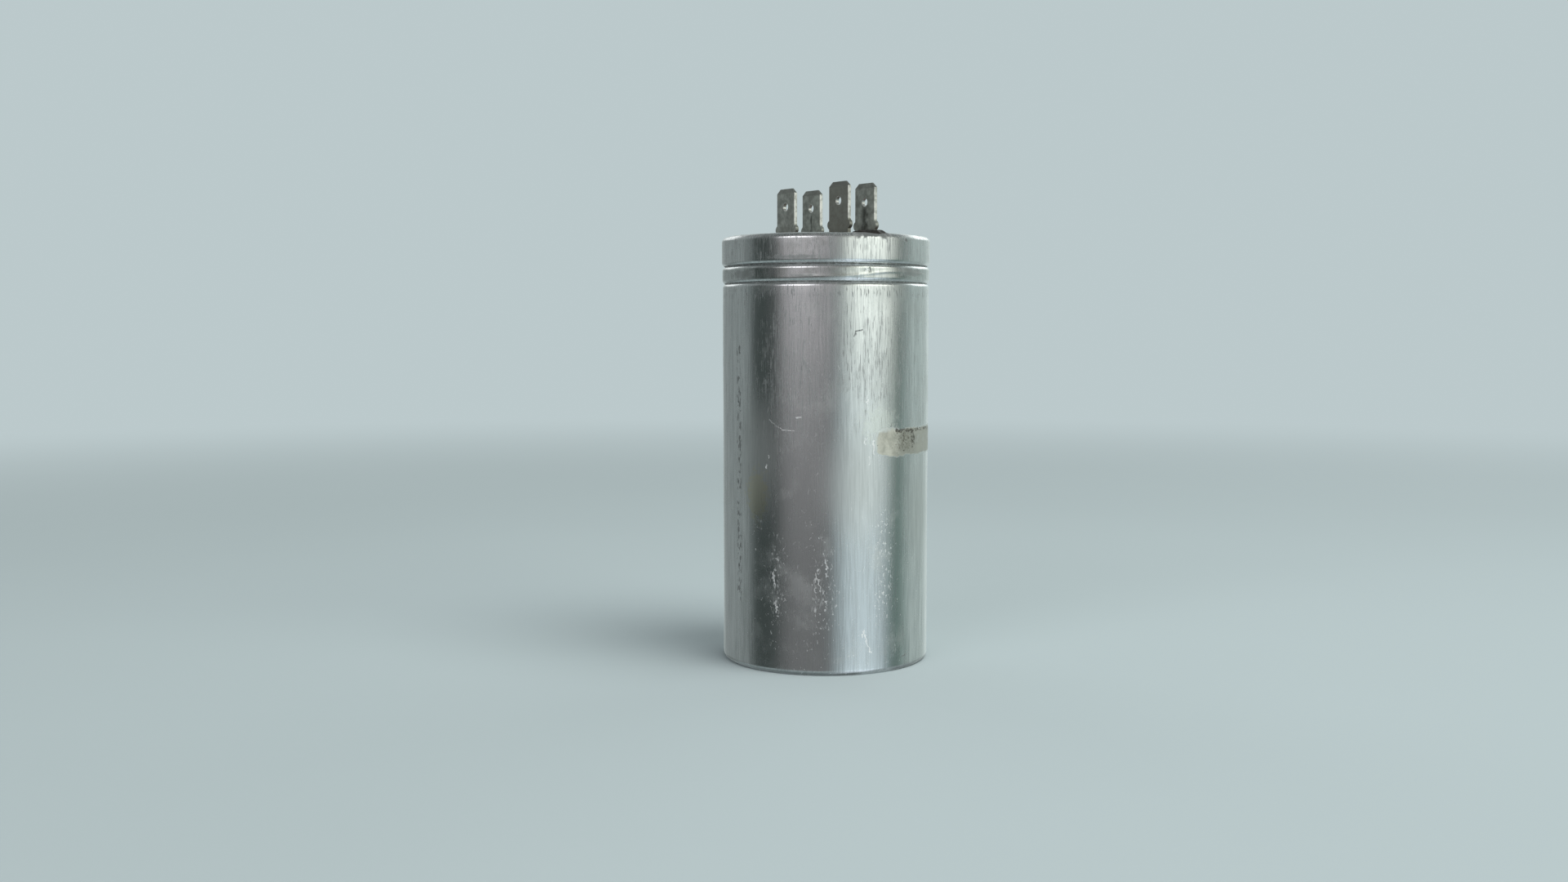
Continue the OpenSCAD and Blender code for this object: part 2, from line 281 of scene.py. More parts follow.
def line_mask(tree, place, marks):
    """One near each of the marks, which waver and break up, falling to nothing past its half width."""
    waver = tree.noise(place, 1.1, 2)
    worn = tree.smooth(tree.noise(place, 2.2, 2), 0.35, 0.55, 0.5, 1)
    place = tree.vector("ADD", place, tree.join(tree.smooth(waver, 0.3, 0.7, -0.25, 0.25), 0.0))
    found = 0.0
    for start, end, half in marks:
        a = Vector((arc_mm(start[0]), start[1], 0))
        run = Vector((arc_mm(end[0]), end[1], 0)) - a
        from_start = tree.vector("SUBTRACT", place, a)
        along = tree.math("DIVIDE", tree.dot(from_start, run), run.length_squared)
        held = tree.add("ShaderNodeClamp", {0: along}).outputs[0]
        nearest = tree.add("ShaderNodeVectorMath", {0: run, "Scale": held}, operation="SCALE").outputs[0]
        away = tree.length(tree.vector("SUBTRACT", from_start, nearest))
        found = tree.most(tree.smooth(away, 1.5 * half, 0.5 * half), found)
    return tree.product(found, worn)


def spot_mask(tree, place, at, size, ragged=0.0, soft=0.6):
    """A round patch about a place on the wall, with a soft edge that a noise may move."""
    off = tree.vector("SUBTRACT", place, (arc_mm(at[0]), at[1], 0))
    scaled = tree.vector("DIVIDE", off, (size[0], size[1], 1))
    return tree.smooth(tree.math("ADD", tree.length(scaled), ragged), 0.8 + soft / 2, 0.8 - soft / 2)


def patch_mask(tree, place, patches, ragged=0.0, soft=0.6):
    """All the patches of a list as one mask."""
    return tree.most(*[spot_mask(tree, place, at, size, ragged, soft) for at, size in patches])


def arc_between(tree, arc_right, turns, edge):
    """One between two turns in degrees right of the front."""
    return tree.between(arc_right, arc_mm(turns[0]), arc_mm(turns[1]), edge)


def wall_place(tree):
    """The surface point, its height, its arc to the right of the front, and both as one place."""
    point = tree.point_mm()
    z = tree.height_of(point)
    turn = tree.math("ARCTAN2", tree.dot(point, RIGHT), tree.dot(point, FRONT))
    arc_right = tree.math("MULTIPLY", turn, BODY_R)
    return point, z, arc_right, tree.join(arc_right, z)


def axial_noise(tree, point, width, length):
    """Noise drawn out along the can's axis, with the size of its grain in millimetres."""
    return tree.noise(tree.vector("DIVIDE", point, (width, width, length)), 1, 2)


def scratches(tree, place, lean, depth):
    """Fine short lines that lean away from the axis by an angle in degrees."""
    a = math.radians(lean)
    across = tree.dot(place, (math.cos(a), -math.sin(a), 0))
    along = tree.dot(place, (math.sin(a), math.cos(a), 0))
    field = tree.noise(tree.join(tree.product(across, 3.2), tree.product(along, 0.45), lean), 1, 1)
    return tree.smooth(tree.math("SUBTRACT", field, depth), 0, 0.05)


def dark_marks(t, point, z, arc_right, place, ragged, patches):
    """Flecks, dashes and smudges on the wall, the bead and the rim band, with painted shade along the groove
    roots and at the sides of the dent on the bead.
    """
    worn = t.most(patch_mask(t, place, WORN_PATCHES, ragged), t.smooth(z, *WORN_BAND_FADE, 0, 0.75))
    upper = t.smooth(z, *DASH_FADE)
    depth = t.blend(worn, 0.63, 0.555)
    short = t.smooth(t.math("SUBTRACT", axial_noise(t, point, 0.24, 3), depth), 0, 0.08)
    long = t.smooth(t.math("SUBTRACT", axial_noise(t, point, 0.16, 9), depth), 0, 0.1)
    dashes = t.most(t.product(short, 0.5), t.product(long, 0.45))
    dashes = t.product(dashes, upper, t.smooth(patches, 0.3, 0.48))

    fleck_noise = t.noise(t.vector("MULTIPLY", point, (1, 1, 0.5)), 1.5, 2)
    column_width = t.smooth(t.math("ABSOLUTE", t.math("SUBTRACT", arc_right, arc_mm(FLECK_TURN))), 1.3, 0.3)
    column = t.product(column_width, t.between(z, *FLECK_HEIGHTS, 3), t.smooth(fleck_noise, 0.52, 0.6), 0.75)
    groove_streaks = t.smooth(axial_noise(t, point, 0.3, 2), 0.57, 0.65)
    under_groove = t.product(t.between(z, *UNDER_GROOVE_HEIGHTS, 1), groove_streaks, 0.6)
    fringe_edge = t.math("ADD", z, t.product(t.noise(point, 0.9, 3, 0.6), 3))
    tar_fringe = t.product(
        t.smooth(fringe_edge, *TAR_FRINGE_EDGE),
        arc_between(t, arc_right, TAR_FRINGE_TURNS, 1.5),
        t.smooth(z, *TAR_FRINGE_FADE),
        0.8,
    )
    rim_dots = t.product(patch_mask(t, place, RIM_DOTS, ragged), t.smooth(ragged, 0, 0.1), 0.8)
    smudges = t.product(patch_mask(t, place, SMUDGES, ragged), 0.45)
    # Painted shade: darker along the roots of both grooves, broken up by noise
    off_root = t.math(
        "MINIMUM",
        t.math("ABSOLUTE", t.math("SUBTRACT", z, GROOVE_HIGH)),
        t.math("ABSOLUTE", t.math("SUBTRACT", z, GROOVE_LOW)),
    )
    root_shade = t.product(t.smooth(off_root, 0.22, 0.06), t.smooth(fleck_noise, 0.3, 0.6, 0.45, 0.8))
    lines = t.product(line_mask(t, place, DARK_MARKS), 0.8)
    return t.most(dashes, column, under_groove, tar_fringe, rim_dots, smudges, root_shade, lines)


def tarnish_film(t, point, z, place, ragged):
    """A thin grey film, in clouds, on the bead and on the rim left of its middle."""
    cloud = t.noise(t.vector("MULTIPLY", point, (1, 1, 0.6)), 0.6, 4, 0.6)
    bead = t.product(t.between(z, *BEAD_HEIGHTS, 0.5), t.smooth(cloud, 0.35, 0.65, 0.25, 0.8))
    rim = t.product(patch_mask(t, place, RIM_FILM, ragged, 1.0), t.smooth(cloud, 0.35, 0.65, 0.1, 0.6))
    return t.most(bead, rim)


def pale_marks(t, point, z, place, ragged):
    """Small bright chips and scratches, most of them in three groups on the lower half, and a painted
    highlight down the middle of the dent on the bead.
    """
    chipped = patch_mask(t, place, CHIPPED_PATCHES, ragged)
    lower = t.smooth(z, *CHIP_FADE)
    chip_noise = t.noise(t.vector("MULTIPLY", point, (1, 1, 0.6)), 2.1, 2)
    chips = t.smooth(t.math("SUBTRACT", chip_noise, t.blend(chipped, 0.7, 0.61)), 0, 0.05)
    depth = t.blend(t.product(chipped, lower), 0.72, 0.64)
    lines = t.most(
        scratches(t, place, 14, depth),
        scratches(t, place, -22, depth),
        scratches(t, place, 50, 0.73),
    )
    lines = t.product(lines, t.smooth(z, *SCRATCH_FADE), 0.25)
    return t.most(t.product(chips, lower, 0.65), lines, line_mask(t, place, PALE_MARKS))


def drawn_aluminium():
    """Dull drawn sheet with axial grain, tarnish, dark flecks, pale scratches, painted shade in the groove
    roots and round the base corner, and painted shade and highlight at the dent on the bead.
    """
    material, t = new_material("can_aluminium")
    point, z, arc_right, place = wall_place(t)
    grain = axial_noise(t, point, 0.3, 6)
    streaks = axial_noise(t, point, 1.1, 27)
    patches = t.noise(point, 0.11, 4, 0.6)
    ragged = t.smooth(t.noise(point, 0.9, 3, 0.6), 0.25, 0.75, -0.35, 0.35)
    dark = dark_marks(t, point, z, arc_right, place, ragged, patches)
    pale = pale_marks(t, point, z, place, ragged)
    stain = t.product(patch_mask(t, place, STAIN, ragged), 0.55)
    haze = t.most(patch_mask(t, place, HAZE_PATCHES, soft=1.4), t.smooth(patches, 0.5, 0.75, 0, 0.6))
    smear = patch_mask(t, place, SMEAR, ragged, 1.0)
    film = tarnish_film(t, point, z, place, ragged)
    # Painted shade round the base corner: strong outside the lit stretch, faint within it
    lit = arc_between(t, arc_right, LIT_BASE_TURNS, 3)
    base_shade = t.product(t.smooth(z, CORNER_R, 0.2), t.blend(lit, 0.8, 0.1))

    tone = t.math("ADD", t.product(grain, 0.65), t.product(streaks, 0.35))
    metal = t.mix(t.smooth(tone, 0.32, 0.68), METAL_DULL, METAL_BRIGHT)
    metal = t.mix(t.product(haze, 0.5), metal, METAL_HAZE)
    metal = t.mix(t.product(smear, 0.55), metal, METAL_SMEAR)
    metal = t.mix(film, metal, METAL_FILM)
    metal = t.mix(base_shade, metal, METAL_BASE_SHADE)
    metal = t.mix(stain, metal, METAL_STAIN)
    metal = t.mix(pale, metal, METAL_CHIP_AND_GLINT)
    metal = t.mix(dark, metal, METAL_DIRT_AND_SHADE)

    rough = t.blend(t.smooth(tone, 0.3, 0.7), 0.28, 0.2)
    rough = t.math("ADD", rough, t.product(haze, 0.14))
    rough = t.math("ADD", rough, t.product(t.most(pale, dark), 0.25))
    dull = t.most(t.product(dark, 0.9), t.product(pale, 0.35), t.product(haze, 0.12), t.product(smear, 0.25))
    metallic = t.blend(dull, 1.0, 0.0)

    grooved = t.math("ADD", t.product(grain, 0.6), t.product(pale, 0.5))
    normal = t.bump(grooved, 0.03, 0.5)
    t.surface(Base_Color=metal, Metallic=metallic, Roughness=rough, Normal=normal)
    return material


def tinned_strip(name, side, stained, drip_half, browner):
    """Tarnished tinned sheet: mottled, with pale side edges and hole rims that are worn tin and a painted
    highlight, painted shade over the tips, and a drip below the hole of one tab.

    side is +1 or -1 for the terminal right or left of the axis; stained and browner pick the tab on the
    local +Y (+1) or -Y (-1) side of the rivet, or neither (0); drip_half is the drip's half width in mm.
    """
    material, t = new_material(name)
    point = t.point_mm()
    z = t.height_of(point)
    along = Vector((math.cos(TERMINAL_TURN), math.sin(TERMINAL_TURN), 0)) * side
    across = Vector((-along.y, along.x, 0))
    off = t.vector("SUBTRACT", point, (side * RIVET_X, 0, 0))
    x = t.dot(off, along)
    y = t.dot(off, across)

    mottle = t.noise(point, 0.8, 4, 0.6)
    fine = t.noise(t.vector("MULTIPLY", point, (1, 1, 0.3)), 5, 3)
    brown = t.smooth(t.product(y, browner), 0.5, 2.5, 0, 0.75) if browner else 0.0
    tarnish = t.smooth(t.math("ADD", t.product(mottle, 0.75), t.product(fine, 0.25)), 0.36, 0.66)
    wider = t.smooth(z, HOLE_Z - 4, LID_TOP + 2.5, 0, 0.6)
    wander = t.smooth(mottle, 0.3, 0.7, -0.3, 0.3)
    off_drip = t.math("ABSOLUTE", t.math("ADD", x, t.product(wander, drip_half)))
    drip_width = t.smooth(t.math("SUBTRACT", t.math("DIVIDE", off_drip, drip_half), wider), 1.4, 0.3)
    on_tab = t.smooth(t.product(y, stained), 2.4, 2.9)
    blots = t.smooth(t.noise(point, 1.1, 2), 0.35, 0.6, 0.4, 0.8)
    drip = t.product(drip_width, t.between(z, LID_TOP + 0.5, HOLE_Z - 0.7, 1.2), on_tab, blots)
    # Darker in mottled patches over the foot of each tab next to the lid, in the same colour as the drip
    foot = t.product(t.smooth(z, LID_TOP + 2.8, LID_TOP + 0.6), t.smooth(mottle, 0.35, 0.6))

    # Worn tin and a painted highlight: pale side edges above the stop and a pale rim round the hole
    side_edge = t.smooth(t.math("ABSOLUTE", x), TAB_HALF - 0.06, TAB_HALF - 0.02)
    above_stop = t.smooth(z, LID_TOP + 4.2, LID_TOP + 4.6)
    from_hole = t.length(t.join(x, t.math("SUBTRACT", z, HOLE_Z)))
    hole_edge = t.smooth(from_hole, HOLE_R + 0.12, HOLE_R + 0.02, 0, 0.85)
    worn = t.most(t.product(side_edge, above_stop, t.smooth(mottle, 0.36, 0.55, 0.35, 0.85)), hole_edge)

    metal = t.mix(tarnish, TIN_DULL, TIN_BRIGHT)
    metal = t.mix(brown, metal, TIN_BROWN)
    # Painted shade: darker over the top 1.2 mm of each tab, on its bevel
    metal = t.mix(t.smooth(z, TAB_TIP - 1.2, TAB_TIP - 0.9, 0, 0.6), metal, TIN_TIP_SHADE)
    metal = t.mix(worn, metal, TIN_WORN_AND_GLINT)
    metal = t.mix(t.product(t.most(drip, t.product(foot, 0.5)), 0.85), metal, TIN_DRIP)
    rough = t.blend(worn, t.blend(tarnish, 0.5, 0.36), 0.28)
    height = t.math("ADD", t.product(fine, 0.5), t.product(drip, 0.6))
    rounded = t.add("ShaderNodeBevel", {"Radius": 0.09 * MM}, samples=6).outputs[0]
    normal = t.bump(height, 0.03, 0.4, rounded)
    t.surface(Base_Color=metal, Metallic=0.9, Roughness=rough, Normal=normal)
    return material


def worn_metal(name, colour, roughness, grain_scale):
    """Plain metal with mottled tarnish and a fine grain."""
    material, t = new_material(name)
    point = t.point_mm()
    mottle = t.noise(point, 0.7, 4, 0.6)
    fine = t.noise(point, grain_scale, 2)
    dull = [0.6 * c for c in colour]
    metal = t.mix(t.smooth(mottle, 0.35, 0.65), dull, colour)
    rough = t.smooth(mottle, 0.3, 0.7, roughness + 0.12, roughness)
    t.surface(Base_Color=metal, Metallic=0.95, Roughness=rough, Normal=t.bump(fine, 0.03, 0.4))
    return material


def moulded(name, colour, roughness, fleck, fleck_share):
    """Plastic, paper or rubber with a faint fleck, cloudy tone and a fine matt grain."""
    material, t = new_material(name)
    point = t.point_mm()
    cloud = t.noise(point, 0.35, 3)
    grain = t.noise(point, 4.5, 3)
    base = t.mix(t.smooth(cloud, 0.35, 0.65), [0.8 * c for c in colour], [min(1, 1.12 * c) for c in colour])
    base = t.mix(t.smooth(grain, 0.58, 0.72, 0, fleck_share), base, fleck)
    rough = t.smooth(cloud, 0.3, 0.7, roughness - 0.06, roughness + 0.08)
    t.surface(Base_Color=base, Roughness=rough, Normal=t.bump(grain, 0.03, 0.35))
    return material


# Label adhesive left on the wall: its ends, and the length of their rounding, in degrees right of the front
GLUE_START = 25.5
GLUE_END = 126
GLUE_START_ROUND = 6
GLUE_END_ROUND = 9
# Its lower and upper edge and the height between them, and its thickness over and depth in the wall
GLUE_LOW = 45.6
GLUE_HIGH = 51.6
GLUE_MIDDLE = 48.6
GLUE_THICK = 0.06
GLUE_LIFT = 0.02
GLUE_SUNK = 0.01
# How far it thins out: from its start, from its top at the left and at the right, and from its lower edge
GLUE_THIN_START = 1.8
GLUE_THIN_TOP = (1.5, 0.6)
GLUE_THIN_LOW = 0.35
# Degrees over which the top's thinning narrows, and over which the cover falls by a share
GLUE_NARROWS = (36, 46)
GLUE_FALLS = (52, 60)
GLUE_FALL = 0.3
GLUE_COLUMNS = 240
GLUE_ROWS = 24
# Name of the mesh value that tells how much the adhesive covers
GLUE_FILM = "film"
# Where dirt sticks to it: along a line that fades in, on a blotch, and on a brown and a grey stretch
GLUE_LINE_Z = 51.0
GLUE_LINE_TURNS = (36, 40)
GLUE_BLOTCH = [((53.5, 49.2), (0.9, 2.1))]
GLUE_BROWN_TURNS = (35, 58)
GLUE_GREY_TURNS = (37, 44)
# Colours of the adhesive and of the dirt on it
GLUE_DULL = (0.36, 0.365, 0.31)
GLUE_CREAM = (0.55, 0.555, 0.48)
GLUE_GREY = (0.25, 0.265, 0.235)
GLUE_BROWN = (0.17, 0.17, 0.135)
GLUE_THIN = (0.64, 0.68, 0.67)
GLUE_DIRT = (0.04, 0.036, 0.026)


def glue_residue():
    """Old label adhesive: cream where thick, the metal showing where thin, with brown flecks of dirt."""
    material, t = new_material("glue_residue")
    point, z, arc_right, place = wall_place(t)
    cloud = t.noise(point, 0.5, 4, 0.6)
    grain = t.noise(point, 2.4, 3, 0.65)
    ragged = t.smooth(cloud, 0.25, 0.75, -0.4, 0.4)
    film = t.add("ShaderNodeAttribute", attribute_name=GLUE_FILM).outputs["Fac"]
    cover = t.smooth(t.math("ADD", film, t.smooth(cloud, 0.3, 0.7, -0.2, 0.2)), 0.1, 0.75)

    wavered = t.math("ADD", z, t.product(ragged, 0.6))
    line_off = t.math("ABSOLUTE", t.math("SUBTRACT", wavered, GLUE_LINE_Z))
    line_from = t.smooth(arc_right, *[arc_mm(turn) for turn in GLUE_LINE_TURNS])
    line = t.product(t.smooth(line_off, 0.55, 0.1), line_from)
    blotch = patch_mask(t, place, GLUE_BLOTCH, ragged)
    above_low = t.smooth(z, GLUE_LOW + 0.2, GLUE_LOW + 2.0)
    brown = t.product(arc_between(t, arc_right, GLUE_BROWN_TURNS, 4), above_low)
    grimy = t.math("ADD", t.product(line, 0.17), t.product(blotch, 0.18))
    grimy = t.math("ADD", grimy, t.product(brown, 0.06))
    dirt = t.smooth(t.math("ADD", grain, grimy), 0.65, 0.7)

    greyer = t.smooth(arc_right, *[arc_mm(turn) for turn in GLUE_GREY_TURNS], 0, 0.75)
    base = t.mix(t.smooth(cloud, 0.35, 0.65), GLUE_DULL, GLUE_CREAM)
    base = t.mix(greyer, base, GLUE_GREY)
    base = t.mix(t.product(brown, t.smooth(grain, 0.35, 0.6), 0.85), base, GLUE_BROWN)
    base = t.mix(t.math("SUBTRACT", 1.0, cover), base, GLUE_THIN)
    base = t.mix(t.product(dirt, 0.9), base, GLUE_DIRT)
    metallic = t.blend(t.most(cover, dirt), 0.9, 0.0)
    normal = t.bump(t.math("ADD", cloud, t.product(grain, 0.6)), 0.1, 0.5)
    t.surface(Base_Color=base, Metallic=metallic, Roughness=t.blend(cover, 0.32, 0.5), Normal=normal)
    return material


# Colours of the black residue and of the dust on it
TAR_BLACK = (0.012, 0.011, 0.009)
TAR_DUST = (0.09, 0.08, 0.06)


def tar():
    """Black sticky residue, glossy in places and dusty in others."""
    material, t = new_material("tar_residue")
    point = t.point_mm()
    lumps = t.noise(point, 1.2, 4, 0.6)
    dust = t.noise(point, 5, 2)
    base = t.mix(t.smooth(dust, 0.56, 0.72, 0, 0.5), TAR_BLACK, TAR_DUST)
    rough = t.smooth(lumps, 0.35, 0.65, 0.3, 0.75)
    t.surface(Base_Color=base, Roughness=rough, Normal=t.bump(lumps, 0.25, 0.7))
    return material


def arc(centre, r, start, end, step):
    """Points on an arc of the can's section."""
    count = max(2, math.ceil(abs(end - start) / step))
    turns = [math.radians(start + (end - start) * i / count) for i in range(count + 1)]
    return [(centre[0] + r * math.cos(a), centre[1] + r * math.sin(a)) for a in turns]


def groove(z, lower_r, upper_r, sheet, step):
    """One rolled groove from its lower wall to its upper wall, on the outside or the inside of the sheet."""
    span = SHOULDER_R + ROOT_ROUND
    low = math.degrees(math.acos(1 - (lower_r - ROOT_R) / span))
    high = math.degrees(math.acos(1 - (upper_r - ROOT_R) / span))
    below = z - span * math.sin(math.radians(low))
    above = z + span * math.sin(math.radians(high))
    return (
        arc((lower_r - SHOULDER_R, below), SHOULDER_R - sheet, 0, low, step)
        + arc((ROOT_R + ROOT_ROUND, z), ROOT_ROUND + sheet, 180 + low, 180 - high, 3 * step)
        + arc((upper_r - SHOULDER_R, above), SHOULDER_R - sheet, -high, 0, step)
    )


def can_face(sheet, floor, step):
    """The can's section from the middle of the base to the tip of the lip."""
    roll = (BAND_R - ROLL_R, CAN_H - ROLL_R)
    end = math.radians(ROLL_TURN)
    tip_r = ROLL_R - sheet
    tip = (
        roll[0] + tip_r * math.cos(end) - LIP * math.sin(end),
        roll[1] + tip_r * math.sin(end) + LIP * math.cos(end),
    )
    return (
        [(0, floor)]
        + arc((BODY_R - CORNER_R, floor + CORNER_R - sheet), CORNER_R - sheet, -90, 0, step)
        + groove(GROOVE_LOW, BODY_R, BEAD_R, sheet, step)
        + groove(GROOVE_HIGH, BEAD_R, BAND_R, sheet, step)
        + arc(roll, ROLL_R - sheet, 0, ROLL_TURN, step)
        + [tip]
    )


# Widest gap between two points of the section, on the bead and elsewhere
BEAD_GAP = 0.15
WALL_GAP = 1.8


def refined(points):
    """The section with points added where two lie far apart: close on the bead, wide elsewhere."""
    found = [points[0]]
    for a, b in zip(points, points[1:]):
        on_bead = GROOVE_LOW < min(a[1], b[1]) and max(a[1], b[1]) < GROOVE_HIGH
        gap = BEAD_GAP if on_bead else WALL_GAP
        count = max(1, math.ceil(math.dist(a, b) / gap))
        found += [tuple(p + (q - p) * i / count for p, q in zip(a, b)) for i in range(1, count + 1)]
    return found


def step_up(value, low, high):
    """Soft step from nothing to one."""
    share = min(1, max(0, (value - low) / (high - low)))
    return share * share * (3 - 2 * share)


def hump(value, middle, half):
    """Soft hump of height one."""
    return math.exp(-(((value - middle) / half) ** 2))


# Unevenness of the drawn sheet: its waves and ripples, how far inside its true radius it lies, and the
# heights over which the waves begin and end
SHEET_WAVE = 0.07
SHEET_RIPPLE = 0.018
SHEET_IN = 0.02
WAVES_BEGIN = (1, 8)
WAVES_END = (76, 80.5)

# Crease that the rolling tool left on the bead: its height off the sheet, half its width, where it lies and
# how far it climbs and drops, and the degrees right of the front over which it climbs, drops, begins and ends
CREASE_HIGH = 0.045
CREASE_HALF = 0.28
CREASE_Z = 83.0
CREASE_CLIMB = 1.1
CREASE_DROP = 0.4
CREASE_CLIMBS = (5, 38)
CREASE_DROPS = (45, 65)
CREASE_BEGINS = (-22, -4)
CREASE_ENDS = (62, 74)

# Dent beside the crease: its depth, its middle in degrees right of the front and height, and its half sizes
NOTCH_DEEP = 0.1
NOTCH_TURN = 20.5
NOTCH_Z = 84.2
NOTCH_HALF_TURN = 1.4
NOTCH_HALF_Z = 0.9

# How far the grooves rise and fall, and the middle and half height of the stretch that does so
GROOVE_SWING = 0.07
SWING_Z = 83.8
SWING_HALF = 4.0


def sheet_offset(turn, z):
    """How far the drawn sheet lies off its true radius, in millimetres: never outwards on the rim band."""
    swing = Vector((math.cos(turn), math.sin(turn), 0))
    wave = noise.noise(swing * 1.7 + Vector((0, 0, z / 26)))
    ripple = noise.noise(swing * 5.0 + Vector((3, 7, z / 60)))
    free = step_up(z, *WAVES_BEGIN) * (1 - step_up(z, *WAVES_END))
    return free * (SHEET_WAVE * wave + SHEET_RIPPLE * ripple) - SHEET_IN


def bead_crease(degrees, z):
    """The low ridge that the rolling tool left along the bead, where the photograph shows it."""
    middle = CREASE_Z + CREASE_CLIMB * step_up(degrees, *CREASE_CLIMBS)
    middle -= CREASE_DROP * step_up(degrees, *CREASE_DROPS)
    reach = step_up(degrees, *CREASE_BEGINS) * (1 - step_up(degrees, *CREASE_ENDS))
    return CREASE_HIGH * reach * hump(z, middle, CREASE_HALF)


def bead_notch(degrees, z):
    """A small dent beside the crease."""
    return -NOTCH_DEEP * hump(degrees, NOTCH_TURN, NOTCH_HALF_TURN) * hump(z, NOTCH_Z, NOTCH_HALF_Z)


def groove_wander(turn, z):
    """How far the rolled grooves rise and fall round the can, in millimetres."""
    near = hump(z, SWING_Z, SWING_HALF)
    return near * GROOVE_SWING * noise.noise(Vector((math.cos(turn) * 1.5, math.sin(turn) * 1.5, 4.2)))


# Angles between faces from which an edge is sharp: on the can, and on the residues
CAN_SHARP = math.radians(35)
RESIDUE_SHARP = math.radians(70)


def mesh_piece(name, verts, faces, material, sharp):
    """A smooth mesh from points in millimetres, with its sharper edges kept."""
    mesh = bpy.data.meshes.new(name)
    mesh.from_pydata([Vector(v) * MM for v in verts], [], faces)
    mesh.validate()
    mesh.shade_smooth()
    mesh.set_sharp_from_angle(angle=sharp)
    mesh.materials.append(material)
    piece = bpy.data.objects.new(name, mesh)
    scene.collection.objects.link(piece)
    return piece


def can_point(turn, r, z):
    """A point of the can's sheet; turn is measured right of the photograph's front."""
    degrees = (math.degrees(turn) + 180) % 360 - 180
    on_bead = bead_crease(degrees, z) + bead_notch(degrees, z) if GROOVE_LOW < z < GROOVE_HIGH else 0
    r += (sheet_offset(turn, z) + on_bead) * min(1, r / BODY_R)
    z += groove_wander(turn, z)
    return RIGHT * (r * math.sin(turn)) + FRONT * (r * math.cos(turn)) + Vector((0, 0, z))


def make_can():
    """The drawn can as one closed sheet, turned round its axis."""
    outside = refined(can_face(0, 0, OUTER_STEP))
    inside = refined(can_face(CAN_WALL, CAN_FLOOR, INNER_STEP))[::-1]
    rows = outside[1:] + inside[:-1]
    verts = [Vector((0, 0, outside[0][1])), Vector((0, 0, inside[-1][1]))]
    for r, z in rows:
        verts += [can_point(2 * math.pi * i / CAN_SEGMENTS, r, z) for i in range(CAN_SEGMENTS)]

    def at(row, i):
        return 2 + row * CAN_SEGMENTS + i % CAN_SEGMENTS

    faces = []
    for i in range(CAN_SEGMENTS):
        faces.append((0, at(0, i), at(0, i + 1)))
        faces.append((1, at(len(rows) - 1, i + 1), at(len(rows) - 1, i)))
        faces += [(at(k, i), at(k + 1, i), at(k + 1, i + 1), at(k, i + 1)) for k in range(len(rows) - 1)]
    return mesh_piece("can_sheet", verts, faces, drawn_aluminium(), CAN_SHARP)


def shell_piece(name, top, bottom, material):
    """A closed skin between two grids of points of the same size."""
    rows = len(top)
    cols = len(top[0])
    verts = [p for row in top for p in row] + [p for row in bottom for p in row]
    half = rows * cols

    def quads(base, flip):
        for i in range(rows - 1):
            for j in range(cols - 1):
                a = base + i * cols + j
                quad = (a, a + 1, a + cols + 1, a + cols)
                yield quad[::-1] if flip else quad

    rim = list(range(cols))
    rim += [i * cols + cols - 1 for i in range(1, rows)]
    rim += [(rows - 1) * cols + j for j in range(cols - 2, -1, -1)]
    rim += [i * cols for i in range(rows - 2, 0, -1)]
    walls = [(a, a + half, b + half, b) for a, b in zip(rim, rim[1:] + rim[:1])]
    faces = list(quads(0, False)) + list(quads(half, True)) + walls
    return mesh_piece(name, verts, faces, material, RESIDUE_SHARP)


def rounded_end(share):
    """Opening of a quarter round as the share along it runs from nothing to one."""
    held = min(1, max(0, share))
    return math.sqrt(1 - (1 - held) ** 2)


def edge_waver(degrees, size, length, row):
    """Rise and fall of an edge along the can; length is that of one wave in degrees, row picks the waves."""
    return size * noise.noise(Vector((degrees / length, row, 0)))


def glue_edges(degrees):
    """Lower and upper edge of the adhesive at one place round the can."""
    start = rounded_end((degrees - GLUE_START) / GLUE_START_ROUND)
    end = rounded_end((GLUE_END - degrees) / GLUE_END_ROUND)
    low = GLUE_LOW + edge_waver(degrees, 0.7, 9, 0) + edge_waver(degrees, 0.25, 2.3, 1)
    high = GLUE_HIGH + edge_waver(degrees, 0.6, 8, 3) + edge_waver(degrees, 0.3, 2, 5)
    open_share = max(0.2, min(start, end))
    return GLUE_MIDDLE + (low - GLUE_MIDDLE) * open_share, GLUE_MIDDLE + (high - GLUE_MIDDLE) * open_share


def glue_film(degrees, z, low, high):
    """Cover of the adhesive: thin at its left and upper edges and to the right, full up to its lower edge."""
    from_start = arc_mm(degrees - GLUE_START) / GLUE_THIN_START
    left, right = GLUE_THIN_TOP
    from_top = (high - z) / (left + (right - left) * step_up(degrees, *GLUE_NARROWS))
    from_low = (z - low) / GLUE_THIN_LOW
    kept = 1 - GLUE_FALL * step_up(degrees, *GLUE_FALLS)
    return max(0, min(1, from_start, from_top, from_low)) * kept


